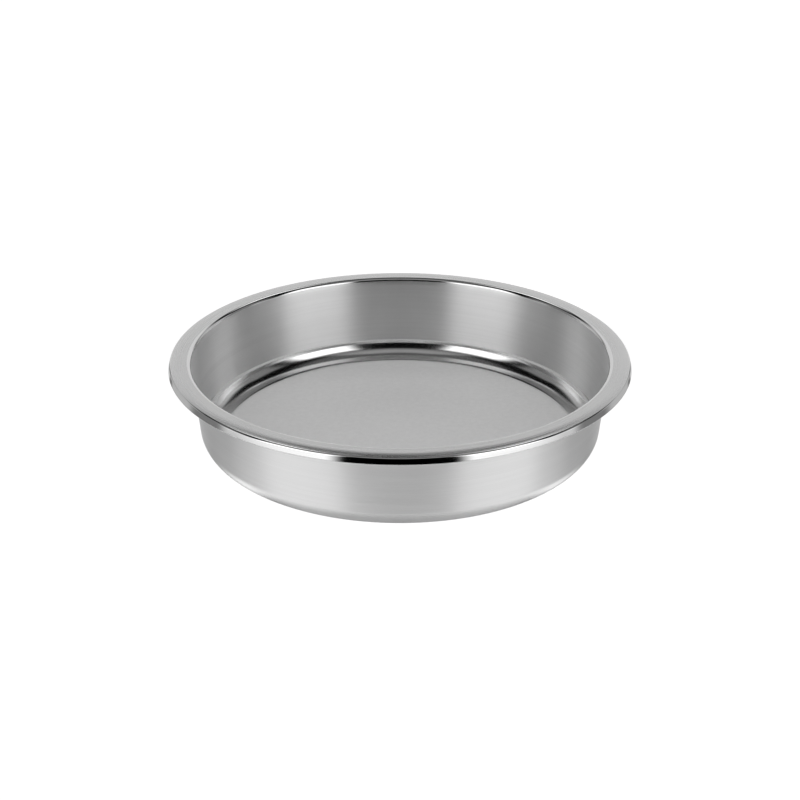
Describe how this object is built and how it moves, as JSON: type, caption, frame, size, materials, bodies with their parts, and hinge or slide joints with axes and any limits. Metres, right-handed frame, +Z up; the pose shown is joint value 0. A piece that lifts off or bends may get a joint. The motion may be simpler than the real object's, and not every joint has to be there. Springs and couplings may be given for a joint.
{
  "type": "round food pan",
  "caption": "Round stainless-steel food pan with a flat floor, tapered side wall and flat-topped rim with a turned-down lip, dropped into a food warmer's opening.",
  "frame": {"origin": "middle of the pan's underside, on the surface it stands on", "axes": "+Z up along the pan's axis of symmetry; the pan is round, so +X and +Y are any two directions at right angles across it"},
  "size_m": [0.3349, 0.335, 0.065],
  "materials": {
    "floor_satin": "satin",
    "wall_brushed": "satin",
    "rim_satin": "satin",
    "polished_bend": "polished"
  },
  "bodies": {
    "root": {"pan_floor": "floor_satin", "floor_corner": "polished_bend", "side_wall": "wall_brushed", "rim_shoulder": "polished_bend", "rim_flat": "rim_satin", "rim_bend": "polished_bend", "rim_lip": "polished_bend"}
  },
  "joints": []
}
